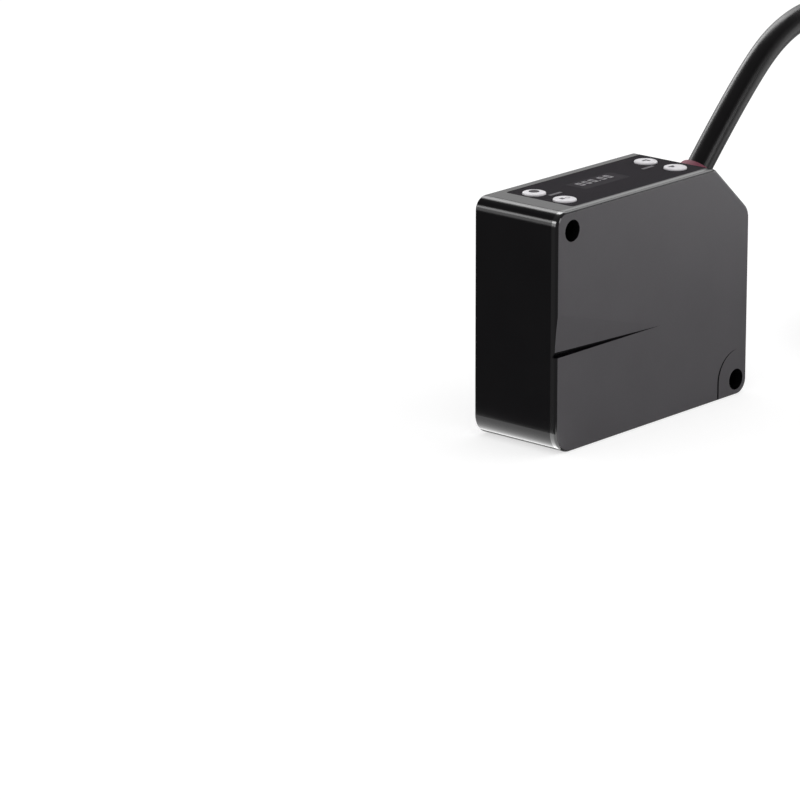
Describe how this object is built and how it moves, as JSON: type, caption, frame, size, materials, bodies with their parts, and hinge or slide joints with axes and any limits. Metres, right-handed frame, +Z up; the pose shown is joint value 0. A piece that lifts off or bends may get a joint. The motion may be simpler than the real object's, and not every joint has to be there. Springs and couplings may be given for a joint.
{
  "type": "laser displacement sensor",
  "caption": "Compact laser displacement sensor with a top display, four buttons, two mounting holes and a 0.6 m lead ending in a round four-pin plug.",
  "frame": {"origin": "middle of the optical face's plane, under the middle of the body", "axes": "+X from the narrow front face to the rear where the cable leaves, +Y from the side cover to the far wall, +Z up from the optical face to the display"},
  "size_m": [0.1621, 0.0697, 0.0771],
  "materials": {
    "housing_black": "gloss",
    "cover_grey": "satin",
    "panel_grey": "matte",
    "window_smoke": "gloss",
    "display_black": "satin",
    "button_white": "satin",
    "pipe_clear": "gloss",
    "led_lens": "gloss",
    "seal_rubber": "matte",
    "screw_steel": "brushed",
    "board_green": "satin",
    "chip_black": "matte",
    "header_cream": "matte",
    "capacitor_can": "satin",
    "chassis_alloy": "anodised",
    "barrel_brass": "machined",
    "diode_gold": "plated",
    "lens_glass": "polished",
    "ring_black": "anodised",
    "chip_ceramic": "matte",
    "emission_glass": "polished",
    "gland_red": "satin",
    "clamp_steel": "satin",
    "cable_black": "gloss",
    "wire_colours": "satin",
    "grip_black": "matte",
    "nut_nickel": "nickel plate",
    "insert_black": "satin"
  },
  "bodies": {
    "case": {"housing": "housing_black", "side_cover": "cover_grey", "cover_seal": "seal_rubber", "cover_screws": "screw_steel", "display_panel": "panel_grey", "display_window": "window_smoke", "display_module": "display_black", "light_pipes": "pipe_clear", "indicator_leds": "led_lens", "tact_switches": "chip_black", "display_board": "board_green", "display_board_screws": "screw_steel", "main_board": "board_green", "main_board_screws": "screw_steel", "processor_chip": "chip_black", "capacitors": "capacitor_can", "board_header": "header_cream", "wire_plug": "header_cream", "optical_chassis": "chassis_alloy", "chassis_screws": "screw_steel", "laser_barrel": "barrel_brass", "laser_diode": "diode_gold", "collimating_lens": "lens_glass", "lens_retainer": "ring_black", "laser_set_screw": "screw_steel", "laser_board": "board_green", "receiving_lens": "lens_glass", "receiving_lens_ring": "ring_black", "sensor_board": "board_green", "sensor_board_screws": "screw_steel", "image_sensor": "chip_ceramic", "image_sensor_glass": "lens_glass", "sensor_plug": "header_cream", "emission_window": "emission_glass", "receiving_window": "lens_glass", "window_seals": "seal_rubber", "cable_gland": "gland_red", "cable_clamp": "clamp_steel", "cable_jacket_end": "cable_black", "lead_wires": "wire_colours", "cable_fall": "cable_black", "cable_coil": "cable_black", "cable_tail": "cable_black", "connector_grip": "grip_black", "connector_insert": "insert_black", "connector_pins": "diode_gold"},
    "button_set_body": {"button_set": "button_white"},
    "button_mode_body": {"button_mode": "button_white"},
    "button_up_body": {"button_up": "button_white"},
    "button_down_body": {"button_down": "button_white"},
    "coupling": {"coupling_screw": "nut_nickel"}
  },
  "joints": [
    {"name": "press_set", "type": "slide", "parent": "case", "child": "button_set_body", "axis": [0, 0, -1], "range_m": [0, 0.0004], "stiffness_N_per_m": 3000},
    {"name": "press_mode", "type": "slide", "parent": "case", "child": "button_mode_body", "axis": [0, 0, -1], "range_m": [0, 0.0004], "stiffness_N_per_m": 3000},
    {"name": "press_up", "type": "slide", "parent": "case", "child": "button_up_body", "axis": [0, 0, -1], "range_m": [0, 0.0004], "stiffness_N_per_m": 3000},
    {"name": "press_down", "type": "slide", "parent": "case", "child": "button_down_body", "axis": [0, 0, -1], "range_m": [0, 0.0004], "stiffness_N_per_m": 3000},
    {"name": "coupling_turn", "type": "hinge", "parent": "case", "child": "coupling", "pos_m": [0.0426, -0.0514, 0.0071], "axis": [-1, 0, 0], "continuous": true}
  ]
}
